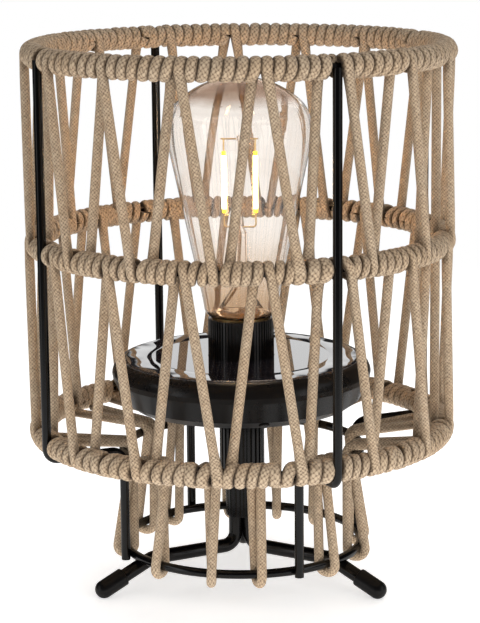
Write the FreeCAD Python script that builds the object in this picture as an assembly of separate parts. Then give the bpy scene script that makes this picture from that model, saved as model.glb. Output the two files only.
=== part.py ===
"""Solar table lamp: a round wire cage wound and laced with rope, standing on three rod legs.

A solar lamp head with a long filament bulb drops over the post inside the cage.
Millimetres, +Z up, the feet stand on z = 0 and the lamp's axis is the Z axis.
Azimuths are degrees from the front (-Y), growing towards the right (+X).
"""
import FreeCAD
import Part
import math
import os

Vector = FreeCAD.Vector
FULL_TURN = 360.0
UP = Vector(0, 0, 1)

# Cage: three big rings, and a smaller ring at the neck and at the base
ring_radius = 90.0
ring_wire_radius = 1.5
top_ring_height = 238.5
middle_ring_height = 155.7
bottom_ring_height = 71.0
neck_radius = 53.6
neck_wire_radius = 1.95
neck_ring_height = 60.0
base_ring_height = 16.8

# Four cage rods, bent in under the bottom ring and down to the base ring
rod_radius = 2.0
rod_azimuth = 27.0
shelf_drop = 6.0
shoulder_bend = 5.0
neck_bend = 6.0
BAYS = ("front", "right", "back", "left")
RODS = ("front_left_rod", "front_right_rod", "back_right_rod", "back_left_rod")

# Three legs whose inner ends turn up side by side as the post
leg_radius = 3.1
leg_height = 14.6
leg_tip_reach = 69.8
leg_knee_bend = 6.0
post_bend = 6.0
post_top_height = 70.0
rod_touch_gap = 0.05
LEGS = (("left_leg", -60.0), ("right_leg", 60.0), ("back_leg", 180.0))

# Rubber foot tips
tip_radius = 4.1
tip_length = 14.8
tip_mouth_round = 0.6
tip_end_wall = 3.2
tip_centre_height = 3.85
tip_fit = 0.05

# Rope
rope_radius = 1.95
rope_sides = 8
winding_turns = 24
winding_groove = 0.85
winding_sides = 8
wire_sides = 8
winding_fit = 0.03
rod_clearance = 0.3
apex_leads = {"front": 7.0, "right": 2.9, "back": 4.0, "left": 5.0}
apex_pitch = 21.7
apex_count = 4
outer_strand_lean = 7.7
inner_strand_lead = 11.4
inner_strand_trail = 3.3
loop_leads = {
    "front": (22.0, 50.0, 71.6),
    "right": (18.5, 48.0, 75.0),
    "back": (24.4, 47.0, 72.0),
    "left": (13.4, 33.0, 71.5),
}
loop_sides = 6
loop_bend_steps = 3
loop_spread = 2.25
loop_foot_spread = 0.9
loop_foot_bend = 3.3
loop_neck_bend = 3.6
loop_slack = 0.45

# Solar lamp head: two shells under a clear round cover
cover_radius = 52.6
cover_thickness = 2.4
cover_edge_round = 0.9
cover_fit = 0.2
lip_drop = 0.5
cell_thickness = 0.4
cell_gap = 0.6
cell_sectors = 6
cell_margin = 3.0
deck_thickness = 2.0
shell_radius = 58.0
shell_wall = 2.0
shell_brow_rise = 2.3
cover_rise = 6.7
seam_radius = 57.6
shell_waist_radius = 53.4
lower_shell_slope = 3.2
lower_shell_side = 9.3
shell_foot_radius = 48.8
shell_foot_height = 80.8
tongue_thickness = 1.5
tongue_height = 1.3
gasket_thickness = 1.0
gasket_height = 1.0

# Ribbed collar and sleeve that drop over the post
collar_radius = 10.1
collar_ribs = 26
collar_rib_depth = 0.6
collar_bottom_height = 44.0
spigot_radius = 8.9
flange_radius = 13.0
flange_thickness = 2.0
sleeve_radius = 7.6
sleeve_ribs = 20
sleeve_rib_depth = 0.25
sleeve_bottom_height = 28.5
sleeve_spigot_radius = 7.3
sleeve_spigot_length = 5.0
post_fit = 0.07
stop_gap = 0.3
rib_share = 0.55

# Lamp holder and bulb
socket_radius = 14.75
socket_height = 20.2
socket_ribs = 60
socket_rib_depth = 0.45
socket_floor = 2.5
socket_fit = 0.15
lamp_base_radius = 13.1
lamp_base_height = 17.0
lamp_base_neck = 2.2
contact_radius = 3.0
contact_height = 0.5
thread_pitch = 3.2
thread_depth = 0.5
bulb_radius = 32.1
bulb_seat_gap = 0.6
bulb_widest_rise = 84.6
bulb_crown_depth = 22.2
bulb_shoulder_radius = 16.0
bulb_flank_radius = 50.0
bulb_neck_radius = 17.3
bulb_neck_rise = 9.7
bulb_throat_radius = 12.6
bulb_throat_round = 4.2
throat_narrowing = 0.9
throat_bulge = 0.7
glass_wall = 0.8
mount_foot_radius = 11.2
mount_tube_radius = 3.2
mount_flare_rise = 13.7
mount_tube_rise = 37.7
mount_rod_radius = 0.9
mount_bead_radius = 1.6
filament_offset = 7.0
filament_radius = 1.0
filament_rise = 46.4
filament_length = 27.6
support_wire_radius = 0.35
support_top_overrun = 5.4
support_bottom_overrun = 6.2
support_overhang = 1.3

# Inside the head
battery_radius = 7.0
battery_length = 50.0
battery_button_radius = 2.8
battery_button_height = 1.2
battery_setback = 26.0
battery_floor_gap = 0.1
board_width = 36.0
board_depth = 17.0
board_thickness = 1.6
board_lift = 4.2
board_setback = 25.0
chip_width = 7.0
chip_depth = 5.0
chip_height = 1.4
coil_radius = 3.0
coil_height = 3.6
standoff_radius = 1.6
standoff_inset = 2.6
screw_reach = 41.0
screw_radius = 1.25
screw_head_radius = 2.6
screw_head_height = 1.6
screw_length = 12.0
screw_boss_radius = 3.2
screw_fit = 0.1
screw_azimuths = (0.0, 120.0, 240.0)

# Power button on the slope at the bottom edge of the lower shell
button_azimuth = 12.7
button_radius = 2.3
button_proud = 0.7
button_travel = 0.8
button_fit = 0.08
button_round = 0.5
button_flange_radius = 3.0
button_flange_thickness = 0.8
button_flange_gap = 0.3
button_rest_gap = 0.1
switch_radius = 2.5
switch_height = 2.4
switch_foot_radius = 1.4
switch_foot_reach = 45.2

# One overrun serves every cut
overrun = 1.0

winding_radius = ring_wire_radius + 2 * rope_radius
outer_rod_reach = ring_radius + ring_wire_radius + rod_radius
inner_rod_reach = neck_radius + neck_wire_radius + rod_radius
shelf_height = bottom_ring_height - shelf_drop
strand_reach_out = ring_radius + ring_wire_radius + rope_radius
strand_reach_in = ring_radius - ring_wire_radius - rope_radius
bay_angle = FULL_TURN / len(BAYS)
# Each leg's outer run slopes from its foot tip and touches the base ring from below
ring_over_tip = base_ring_height - tip_centre_height
ring_inside_tip = leg_tip_reach - neck_radius
leg_touch_distance = neck_wire_radius + leg_radius + rod_touch_gap
leg_slope = math.atan2(ring_over_tip, ring_inside_tip)
leg_slope = leg_slope - math.asin(leg_touch_distance / math.hypot(ring_over_tip, ring_inside_tip))
leg_knee_reach = leg_tip_reach - (leg_height - tip_centre_height) / math.tan(leg_slope)
post_reach = 2 * leg_radius / math.sqrt(3) + rod_touch_gap
post_bore_radius = post_reach + leg_radius + post_fit
shell_waist_height = shell_foot_height + lower_shell_slope
seam_height = shell_waist_height + lower_shell_side
shell_brow_height = seam_height + shell_brow_rise
cover_top_height = shell_brow_height + cover_rise
deck_top_height = cover_top_height - cover_thickness - cell_thickness
deck_bottom_height = deck_top_height - deck_thickness
floor_top_height = shell_foot_height + shell_wall
socket_top_height = deck_top_height + socket_height
bulb_throat_height = socket_top_height + bulb_seat_gap
bulb_neck_height = bulb_throat_height + bulb_neck_rise
bulb_widest_height = bulb_throat_height + bulb_widest_rise
mount_flare_height = bulb_throat_height + mount_flare_rise
mount_tube_height = bulb_throat_height + mount_tube_rise
filament_bottom_height = bulb_throat_height + filament_rise
filament_top_height = filament_bottom_height + filament_length
support_top_height = filament_top_height + support_top_overrun
support_bottom_height = filament_bottom_height - support_bottom_overrun
stem_stop_height = post_top_height + stop_gap


def polar(reach, azimuth, height):
    """A point at a distance from the lamp's axis."""
    angle = math.radians(azimuth)
    return Vector(reach * math.sin(angle), -reach * math.cos(angle), height)


def unit(vector):
    return vector * (1 / vector.Length)


def line(start, end):
    return Part.LineSegment(start, end).toShape()


def rounded_path(points, bends):
    """A wire of straight runs joined by tangent arcs, with one bend radius for each inner point."""
    edges = []
    start = points[0]
    for corner, following, bend in zip(points[1:-1], points[2:], bends):
        arriving = unit(corner - start)
        leaving = unit(following - corner)
        half_turn = arriving.getAngle(leaving) / 2
        setback = bend * math.tan(half_turn)
        middle = corner + unit(leaving - arriving) * (bend / math.cos(half_turn) - bend)
        arc_start = corner - arriving * setback
        arc_end = corner + leaving * setback
        edges.append(line(start, arc_start))
        edges.append(Part.Arc(arc_start, middle, arc_end).toShape())
        start = arc_end
    edges.append(line(start, points[-1]))
    return Part.Wire(edges)


def tube(points, bends, radius):
    """A round bar along a rounded path."""
    direction = unit(points[1] - points[0])
    section = Part.Wire([Part.makeCircle(radius, points[0], direction)])
    return rounded_path(points, bends).makePipeShell([section], True, False)


def ring_of_points(centre, across, over, radius, sides):
    """A regular outline round a centre, in the plane of two unit directions."""
    corners = []
    for step in range(sides):
        angle = math.radians(FULL_TURN * step / sides)
        corners.append(centre + across * (radius * math.cos(angle)) + over * (radius * math.sin(angle)))
    return Part.makePolygon(corners + [corners[0]])


def rope_section(centre, direction, sides, facing):
    """A rope's outline where it is cut by a plane that faces a given way."""
    sideways = polar(1, math.degrees(math.atan2(centre.x, -centre.y)) + FULL_TURN / 4, 0)
    over = unit(direction.cross(sideways))
    across = unit(over.cross(direction))
    corners = []
    for step in range(sides):
        angle = math.radians(FULL_TURN * (step + 1 / 2) / sides)
        spoke = across * (rope_radius * math.cos(angle)) + over * (rope_radius * math.sin(angle))
        corners.append(centre + spoke - direction * (spoke.dot(facing) / direction.dot(facing)))
    return Part.makePolygon(corners + [corners[0]])


def rope_run(stations, sides):
    """A faceted rope through stations of place, direction and cutting plane."""
    sections = [rope_section(place, heading, sides, facing) for place, heading, facing in stations]
    return Part.makeLoft(sections, True, True)


def turned(edges):
    """A solid of revolution round the lamp's axis from edges in the X-Z plane."""
    face = Part.Face(Part.Wire(edges))
    return face.revolve(Vector(0, 0, 0), UP, FULL_TURN)


def turned_outline(outline):
    """A solid of revolution from (radius, height) corners."""
    corners = [Vector(reach, 0, height) for reach, height in outline]
    edges = [line(a, b) for a, b in zip(corners, corners[1:] + corners[:1])]
    return turned(edges)


def cylinder(radius, bottom, top, centre=Vector(0, 0, 0)):
    return Part.makeCylinder(radius, top - bottom, Vector(centre.x, centre.y, bottom))


def hollow(outer, inner, bottom, top):
    return cylinder(outer, bottom, top).cut(cylinder(inner, bottom - overrun, top + overrun))


def arc_at(radius, first, last, height):
    """A level arc round the lamp's axis between two azimuths."""
    middle = polar(radius, (first + last) / 2, height)
    return Part.Arc(polar(radius, first, height), middle, polar(radius, last, height)).toShape()


def ribbed_bar(radius, depth, ribs, bottom, top):
    """An upright bar whose round face is divided into straight ribs."""
    edges = []
    pitch = FULL_TURN / ribs
    for rib in range(ribs):
        first = rib * pitch
        last = first + pitch * rib_share
        following = first + pitch
        crest = arc_at(radius, first, last, bottom)
        root = arc_at(radius - depth, last, following, bottom)
        edges.append(crest)
        edges.append(line(polar(radius, last, bottom), polar(radius - depth, last, bottom)))
        edges.append(root)
        edges.append(line(polar(radius - depth, following, bottom), polar(radius, following, bottom)))
    return Part.Face(Part.Wire(edges)).extrude(Vector(0, 0, top - bottom))


def wire_ring(radius, wire_radius, height):
    return Part.makeTorus(radius, wire_radius, Vector(0, 0, height))


def wound_wire_ring(radius, wire_radius, height):
    """A ring of wire that the rope hides, with a flat-sided section."""
    section = ring_of_points(Vector(radius, 0, height), Vector(1, 0, 0), UP, wire_radius, wire_sides)
    return turned(section.Edges)


def square_ring(radius, half_width, height):
    """The room that a winding leaves for its wire."""
    bottom = height - half_width
    top = height + half_width
    near = radius - half_width
    far = radius + half_width
    return turned_outline([(near, bottom), (far, bottom), (far, top), (near, top)])


def bay_start(bay):
    """The azimuth of the rod at the left end of a bay."""
    return rod_azimuth + bay_angle * (BAYS.index(bay) - 1)


def cage_rod(azimuth):
    bottom_end = base_ring_height - neck_wire_radius + rod_touch_gap
    points = [
        polar(outer_rod_reach, azimuth, top_ring_height),
        polar(outer_rod_reach, azimuth, shelf_height),
        polar(inner_rod_reach, azimuth, shelf_height),
        polar(inner_rod_reach, azimuth, bottom_end),
    ]
    return tube(points, (shoulder_bend, neck_bend), rod_radius)


def leg_end(azimuth):
    """The centre of the foot tip's round end, and the direction of the leg there."""
    end = polar(leg_tip_reach, azimuth, tip_centre_height)
    knee = polar(leg_knee_reach, azimuth, leg_height)
    return end, unit(end - knee)


def leg(azimuth):
    end, direction = leg_end(azimuth)
    points = [
        polar(post_reach, azimuth, post_top_height),
        polar(post_reach, azimuth, leg_height),
        polar(leg_knee_reach, azimuth, leg_height),
        end + direction * (tip_radius - tip_end_wall),
    ]
    return tube(points, (post_bend, leg_knee_bend), leg_radius)


def foot_tip(azimuth):
    """A rubber cap bored to push over the leg, with a round end that is worn flat where it stands."""
    end, direction = leg_end(azimuth)
    straight = tip_length - tip_radius
    mouth = end - direction * straight
    body = Part.makeCylinder(tip_radius, straight, mouth, direction)
    edge = [e for e in body.Edges if (e.CenterOfMass - mouth).Length < tip_mouth_round]
    body = body.makeFillet(tip_mouth_round, edge)
    cap = body.fuse(Part.makeSphere(tip_radius, end)).removeSplitter()
    depth = straight + tip_radius - tip_end_wall + overrun
    cap = cap.cut(Part.makeCylinder(leg_radius + tip_fit, depth, mouth - direction * overrun, direction))
    return cap.cut(cylinder(2 * tip_radius, -tip_radius, 0, polar(leg_tip_reach, azimuth, 0)))


def winding(bay, height):
    """Rope wound close round one bay of a big ring, as a ridge and a groove for each turn."""
    end_gap = math.degrees((rod_radius + rod_clearance) / (outer_rod_reach - rod_radius))
    start = bay_start(bay) + end_gap
    span = bay_angle - 2 * end_gap
    stations = 2 * winding_turns
    sections = []
    for station in range(stations + 1):
        azimuth = start + span * station / stations
        radius = winding_radius if station % 2 else winding_radius - winding_groove
        centre = polar(ring_radius, azimuth, height)
        outwards = polar(1, azimuth, 0)
        sections.append(ring_of_points(centre, outwards, UP, radius, winding_sides))
    rope = Part.makeLoft(sections, True, True)
    return rope.cut(square_ring(ring_radius, ring_wire_radius + winding_fit, height))


def seat_on_winding(reach, azimuth, ring_height, side):
    """Where a rope at some reach meets a winding from above (1) or below (-1), and the way to its middle."""
    offset = reach - ring_radius
    climb = side * math.sqrt((winding_radius + winding_fit) ** 2 - offset ** 2)
    place = polar(reach, azimuth, ring_height + climb)
    return place, unit(polar(ring_radius, azimuth, ring_height) - place)


def strand(reach, low_azimuth, low_height, high_azimuth, high_height):
    """A tight length of rope between two wound rings, cut to lie against each winding."""
    foot, foot_facing = seat_on_winding(reach, low_azimuth, low_height, 1)
    head, head_facing = seat_on_winding(reach, high_azimuth, high_height, -1)
    heading = unit(head - foot)
    return rope_run([(foot, heading, foot_facing), (head, heading, head_facing)], rope_sides)


def lacing(bay, low_height, high_height):
    """The slanted ropes of one bay: over the outside on the way down, up again on the inside."""
    ropes = []
    for apex in range(apex_count):
        top = bay_start(bay) + apex_leads[bay] + apex_pitch * apex
        last_top = bay_start(bay) + bay_angle - inner_strand_trail
        next_top = min(top + apex_pitch - inner_strand_trail, last_top)
        ropes.append(strand(strand_reach_out, top + outer_strand_lean, low_height, top, high_height))
        ropes.append(strand(strand_reach_in, top + inner_strand_lead, low_height, next_top, high_height))
    return Part.makeCompound(ropes)


def neck_loop(azimuth):
    """A rope from the bottom ring in over the neck ring, round the base ring and back."""
    clear = neck_wire_radius + rope_radius + loop_slack
    over_neck = neck_ring_height + clear
    inside = neck_radius - clear
    outside = neck_radius + clear
    under_base = base_ring_height - clear
    spread = math.degrees(loop_spread / neck_radius)
    foot_spread = math.degrees(loop_foot_spread / neck_radius)
    rim_spread = math.degrees(loop_spread / ring_radius)
    rim_reach = ring_radius - (winding_radius + winding_fit) * math.cos(math.radians(FULL_TURN / 8))
    first, first_facing = seat_on_winding(rim_reach, azimuth + rim_spread, bottom_ring_height, -1)
    last, last_facing = seat_on_winding(rim_reach, azimuth - rim_spread, bottom_ring_height, -1)
    points = [
        first,
        polar(inside, azimuth + spread, over_neck),
        polar(outside, azimuth + foot_spread, under_base),
        polar(inside, azimuth - foot_spread, under_base),
        polar(inside, azimuth - spread, over_neck),
        last,
    ]
    bends = (loop_neck_bend, loop_foot_bend, loop_foot_bend, loop_neck_bend)
    path = rounded_path(points, bends)
    stations = [(first, unit(points[1] - first), first_facing)]
    for bend_edge in path.Edges[1::2]:
        first_parameter, last_parameter = bend_edge.ParameterRange
        for step in range(loop_bend_steps):
            share = step / (loop_bend_steps - 1)
            parameter = first_parameter + share * (last_parameter - first_parameter)
            heading = unit(bend_edge.tangentAt(parameter))
            stations.append((bend_edge.valueAt(parameter), heading, heading))
    stations.append((last, unit(last - points[-2]), last_facing))
    return rope_run(stations, loop_sides)


def neck_lacing(bay):
    return Part.makeCompound([neck_loop(bay_start(bay) + lead) for lead in loop_leads[bay]])


def upper_shell():
    """The rim that frames the cover, with the deck that carries the solar cells."""
    seat_radius = cover_radius + cover_fit
    lip_height = cover_top_height - lip_drop
    inner_radius = shell_radius - shell_wall
    lip_radius = seat_radius + lip_drop
    brow_middle = Vector(shell_radius - lip_drop, 0, (lip_height + 2 * shell_brow_height) / 3)
    outline = [
        Vector(socket_radius - shell_wall, 0, deck_bottom_height),
        Vector(socket_radius - shell_wall, 0, deck_top_height),
        Vector(seat_radius, 0, deck_top_height),
        Vector(seat_radius, 0, lip_height),
        Vector(lip_radius, 0, lip_height),
    ]
    edges = [line(a, b) for a, b in zip(outline, outline[1:])]
    brow_end = Vector(shell_radius, 0, shell_brow_height)
    edges.append(Part.Arc(outline[-1], brow_middle, brow_end).toShape())
    closing = [
        brow_end,
        Vector(seam_radius, 0, seam_height),
        Vector(inner_radius, 0, seam_height),
        Vector(inner_radius, 0, shell_brow_height),
        Vector(seat_radius, 0, deck_bottom_height),
        outline[0],
    ]
    edges += [line(a, b) for a, b in zip(closing, closing[1:])]
    shell = turned(edges)
    for azimuth in screw_azimuths:
        centre = polar(screw_reach, azimuth, 0)
        boss_bottom = floor_top_height + screw_fit
        boss = cylinder(screw_boss_radius, boss_bottom, deck_bottom_height + deck_thickness / 2, centre)
        shell = shell.fuse(boss)
        hole_top = shell_foot_height + screw_head_height + screw_length + screw_fit
        shell = shell.cut(cylinder(screw_radius, boss_bottom - overrun, hole_top, centre))
    return shell.removeSplitter()


def lower_shell():
    """The dish under the lamp head, with its slope at the bottom edge, standoffs and screw holes."""
    tongue_outer = shell_radius - shell_wall - gasket_thickness
    tongue_inner = tongue_outer - tongue_thickness
    outline = [
        (spigot_radius + screw_fit, shell_foot_height),
        (shell_foot_radius, shell_foot_height),
        (shell_waist_radius, shell_waist_height),
        (seam_radius, seam_height),
        (tongue_outer, seam_height),
        (tongue_outer, seam_height + tongue_height),
        (tongue_inner, seam_height + tongue_height),
        (tongue_inner, seam_height - shell_wall),
        (shell_waist_radius - shell_wall, shell_waist_height + shell_wall / 2),
        (shell_foot_radius - shell_wall / 2, floor_top_height),
        (spigot_radius + screw_fit, floor_top_height),
    ]
    shell = turned_outline(outline)
    for azimuth in screw_azimuths:
        centre = polar(screw_reach, azimuth, 0)
        head_seat = shell_foot_height + screw_head_height
        floor_end = floor_top_height + overrun
        head_room = cylinder(screw_head_radius + screw_fit, shell_foot_height - overrun, head_seat, centre)
        shank_room = cylinder(screw_radius + screw_fit, shell_foot_height, floor_end, centre)
        shell = shell.cut(head_room).cut(shank_room)
    for side in (-1, 1):
        for end in (-1, 1):
            x = side * (board_width / 2 - standoff_inset)
            y = -board_setback + end * (board_depth / 2 - standoff_inset)
            foot = floor_top_height - shell_wall / 2
            rest = floor_top_height + board_lift
            shell = shell.fuse(cylinder(standoff_radius, foot, rest, Vector(x, y, 0)))
    centre, inwards = button_axis()
    hole_start = centre - inwards * shell_wall
    hole = Part.makeCylinder(button_radius + button_fit, 4 * shell_wall, hole_start, inwards)
    pocket_start = centre + inwards * pocket_depth()
    pocket = Part.makeCylinder(button_flange_radius + button_fit, 2 * shell_wall, pocket_start, inwards)
    return shell.cut(hole).cut(pocket).removeSplitter()


def button_axis():
    """The middle of the slope at the shell's bottom edge, and the direction square to it, inwards."""
    run = shell_waist_radius - shell_foot_radius
    rise = shell_waist_height - shell_foot_height
    reach = (shell_waist_radius + shell_foot_radius) / 2
    height = (shell_waist_height + shell_foot_height) / 2
    inwards = polar(-rise, button_azimuth, run)
    return polar(reach, button_azimuth, height), unit(inwards)


def pocket_depth():
    """How far under the slope the button's flange stops against the shell."""
    return shell_wall / 2


def power_button():
    """A domed cap whose flange is held behind the shell."""
    centre, inwards = button_axis()
    outer_end = centre - inwards * button_proud
    flange_start = pocket_depth() + button_rest_gap
    length = button_proud + flange_start + button_flange_thickness / 2
    cap = Part.makeCylinder(button_radius, length, outer_end, inwards)
    edge = [e for e in cap.Edges if (e.CenterOfMass - outer_end).Length < button_round]
    cap = cap.makeFillet(button_round, edge)
    flange = Part.makeCylinder(
        button_flange_radius, button_flange_thickness, centre + inwards * flange_start, inwards
    )
    return cap.fuse(flange).removeSplitter()


def switch_block():
    """The small switch that the button presses, on a foot that stands on the shell's floor."""
    centre, inwards = button_axis()
    behind = pocket_depth() + button_rest_gap + button_flange_thickness + button_travel + button_flange_gap
    block = Part.makeCylinder(switch_radius, switch_height, centre + inwards * behind, inwards)
    foot_place = polar(switch_foot_reach, button_azimuth, 0)
    foot_top = (centre + inwards * (behind + switch_height / 2)).z
    foot = cylinder(switch_foot_radius, floor_top_height + rod_touch_gap, foot_top, foot_place)
    return block.fuse(foot).removeSplitter()


def screws():
    """Three screws from below, each with a cross slot in its head."""
    made = []
    slot_width = screw_radius / 2
    for azimuth in screw_azimuths:
        centre = polar(screw_reach, azimuth, 0)
        head_bottom = shell_foot_height + screw_fit
        head_top = shell_foot_height + screw_head_height
        head = cylinder(screw_head_radius, head_bottom, head_top, centre)
        for wide, deep in ((screw_head_radius, slot_width), (slot_width, screw_head_radius)):
            corner = Vector(centre.x - wide / 2, centre.y - deep / 2, head_bottom)
            slot = Part.makeBox(wide, deep, slot_width, corner)
            head = head.cut(slot)
        shank = cylinder(screw_radius, head_top - slot_width / 2, head_top + screw_length, centre)
        made.append(head.fuse(shank).removeSplitter())
    return Part.makeCompound(made)


def gasket():
    outer = shell_radius - shell_wall
    return hollow(outer, outer - gasket_thickness, seam_height, seam_height + gasket_height)


def solar_cover():
    disc = cylinder(cover_radius, cover_top_height - cover_thickness, cover_top_height)
    rim = [e for e in disc.Edges if e.BoundBox.ZMin > cover_top_height - cover_edge_round and e.Closed]
    disc = disc.makeFillet(cover_edge_round, rim)
    bore = cylinder(socket_radius + socket_fit, deck_bottom_height, cover_top_height + overrun)
    return disc.cut(bore)


def solar_cells():
    """Thin cells in six sectors round the lamp holder, with a narrow gap between them."""
    outer = cover_radius - cell_margin
    inner = socket_radius + cell_margin
    sheet = hollow(outer, inner, deck_top_height, deck_top_height + cell_thickness)
    for sector in range(cell_sectors):
        gap = Part.makeBox(cell_gap, outer + overrun, 3 * cell_thickness)
        gap.translate(Vector(-cell_gap / 2, 0, deck_top_height - cell_thickness))
        gap.rotate(Vector(0, 0, 0), UP, FULL_TURN * sector / cell_sectors)
        sheet = sheet.cut(gap)
    return sheet


def ribbed_collar():
    """The collar under the head: ribbed outside, held by its flange, bored for the post."""
    flange_bottom = floor_top_height
    bottom = collar_bottom_height
    body = ribbed_bar(collar_radius, collar_rib_depth, collar_ribs, bottom, shell_foot_height)
    body = body.fuse(cylinder(spigot_radius, shell_foot_height - overrun, flange_bottom + overrun))
    body = body.fuse(cylinder(flange_radius, flange_bottom, flange_bottom + flange_thickness))
    body = body.cut(cylinder(post_bore_radius, bottom - overrun, stem_stop_height))
    spigot_bore = sleeve_spigot_radius + rod_touch_gap
    spigot_top = bottom + sleeve_spigot_length
    return body.cut(cylinder(spigot_bore, bottom - overrun, spigot_top)).removeSplitter()


def post_sleeve():
    """The narrower ribbed sleeve that steadies the head on the post."""
    bottom = sleeve_bottom_height
    body = ribbed_bar(sleeve_radius, sleeve_rib_depth, sleeve_ribs, bottom, collar_bottom_height)
    spigot_top = collar_bottom_height + sleeve_spigot_length - rod_touch_gap
    body = body.fuse(cylinder(sleeve_spigot_radius, collar_bottom_height - overrun, spigot_top))
    bore = cylinder(post_bore_radius, bottom - overrun, spigot_top + overrun)
    return body.cut(bore).removeSplitter()


def bulb_socket():
    """The ribbed lamp holder: a cup with a floor."""
    body = ribbed_bar(socket_radius, socket_rib_depth, socket_ribs, deck_top_height, socket_top_height)
    bore_radius = lamp_base_radius + socket_fit
    body = body.cut(cylinder(bore_radius, deck_top_height + socket_floor, socket_top_height + overrun))
    return body


def lamp_contact():
    """The spring contact on the floor of the lamp holder."""
    bottom = deck_top_height + socket_floor
    disc = cylinder(contact_radius, bottom, bottom + contact_height)
    return disc.fuse(Part.makeSphere(contact_radius / 2, Vector(0, 0, bottom + contact_height)).common(
        cylinder(contact_radius, bottom, bottom + contact_radius))).removeSplitter()


def lamp_base():
    """The bulb's metal cap: a turned shell with a rolled thread and a stepped foot."""
    top = bulb_throat_height
    bottom = top - lamp_base_height
    foot_radius = lamp_base_radius / 2
    foot_height = contact_radius
    outline = [(0, bottom + foot_height / 2), (foot_radius, bottom + foot_height / 2)]
    rolls = int((lamp_base_height - foot_height - lamp_base_neck) / thread_pitch)
    start = bottom + foot_height
    for roll in range(rolls):
        level = start + roll * thread_pitch
        outline.append((lamp_base_radius - thread_depth, level))
        outline.append((lamp_base_radius, level + thread_pitch / 2))
    outline.append((lamp_base_radius - thread_depth, start + rolls * thread_pitch))
    outline.append((lamp_base_radius - thread_depth, top))
    outline.append((0, top))
    return turned_outline(outline)


def upright_unit(angle):
    """A unit vector in the X-Z plane, tilted up from +X."""
    return Vector(math.cos(angle), 0, math.sin(angle))


def bulb_profile(inset):
    """Half the bulb's outline, drawn in by an inset: throat, neck, cone, flank, shoulder and crown."""
    flank = bulb_flank_radius - inset
    flank_centre = Vector(bulb_radius - bulb_flank_radius, 0, bulb_widest_height)
    neck = Vector(bulb_neck_radius - inset, 0, bulb_neck_height)
    reach = neck - flank_centre
    touch_angle = math.atan2(reach.z, reach.x) + math.acos(flank / reach.Length)
    cone_top = flank_centre + upright_unit(touch_angle) * flank
    flank_middle = flank_centre + upright_unit(touch_angle / 2) * flank
    side = Vector(bulb_radius - inset, 0, bulb_widest_height)
    shoulder_reach = bulb_radius - bulb_shoulder_radius
    drop = bulb_crown_depth - bulb_shoulder_radius
    crown_radius = (shoulder_reach ** 2 + drop * (bulb_crown_depth + bulb_shoulder_radius)) / (2 * drop)
    crown_centre = Vector(0, 0, bulb_widest_height + bulb_crown_depth - crown_radius)
    shoulder_centre = Vector(shoulder_reach, 0, bulb_widest_height)
    meeting = unit(shoulder_centre - crown_centre)
    meeting_angle = math.atan2(meeting.z, meeting.x)
    shoulder = bulb_shoulder_radius - inset
    crown = crown_radius - inset
    shoulder_middle = shoulder_centre + upright_unit(meeting_angle / 2) * shoulder
    shoulder_top = shoulder_centre + meeting * shoulder
    crown_middle = crown_centre + upright_unit((meeting_angle + math.pi / 2) / 2) * crown
    axis_top = crown_centre + UP * crown
    throat = Vector(bulb_throat_radius - inset, 0, bulb_throat_height + inset)
    throat_reach = bulb_neck_radius - throat_narrowing - inset
    throat_top = Vector(throat_reach, 0, bulb_throat_height + bulb_throat_round)
    throat_middle = (throat + throat_top) * (1 / 2) + Vector(throat_bulge, 0, -throat_bulge)
    axis_bottom = Vector(0, 0, throat.z)
    return [
        line(axis_bottom, throat),
        Part.Arc(throat, throat_middle, throat_top).toShape(),
        line(throat_top, neck),
        line(neck, cone_top),
        Part.Arc(cone_top, flank_middle, side).toShape(),
        Part.Arc(side, shoulder_middle, shoulder_top).toShape(),
        Part.Arc(shoulder_top, crown_middle, axis_top).toShape(),
        line(axis_top, axis_bottom),
    ]


def bulb_glass():
    outside = turned(bulb_profile(0))
    inside = turned(bulb_profile(glass_wall))
    return outside.cut(inside)


def bulb_mount():
    """The glass stem inside the bulb: a flared foot, a tube and a thin rod with a bead on top."""
    foot = bulb_throat_height + glass_wall + rod_touch_gap
    outline = [
        (0, foot),
        (mount_foot_radius, foot),
        (mount_foot_radius, foot + glass_wall),
        (mount_tube_radius, mount_flare_height),
        (mount_tube_radius, mount_tube_height),
        (mount_rod_radius, mount_tube_height + mount_tube_radius),
        (mount_rod_radius, support_top_height),
        (0, support_top_height),
    ]
    bead = Part.makeSphere(mount_bead_radius, Vector(0, 0, support_top_height))
    return turned_outline(outline).fuse(bead).removeSplitter()


def filament(side):
    """One glowing rod with its round ends."""
    centre = Vector(side * filament_offset, 0, 0)
    bar = cylinder(filament_radius, filament_bottom_height, filament_top_height, centre)
    ends = [e for e in bar.Edges if e.Closed]
    return bar.makeFillet(filament_radius / 2, ends)


def filament_supports():
    """The bent wires that carry the filaments: one across the top, two out from the glass stem."""
    over = filament_offset + support_overhang
    top_start = Vector(-over, 0, support_top_height)
    wires = [Part.makeCylinder(support_wire_radius, 2 * over, top_start, Vector(1, 0, 0))]
    for side in (-1, 1):
        x = side * filament_offset
        wires.append(cylinder(support_wire_radius, filament_top_height, support_top_height, Vector(x, 0, 0)))
        points = [
            Vector(side * mount_rod_radius, 0, support_bottom_height),
            Vector(x, 0, support_bottom_height),
            Vector(x, 0, filament_bottom_height),
        ]
        wires.append(tube(points, (support_overhang,), support_wire_radius))
    return wires[0].fuse(wires[1:]).cut(bulb_mount())


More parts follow.
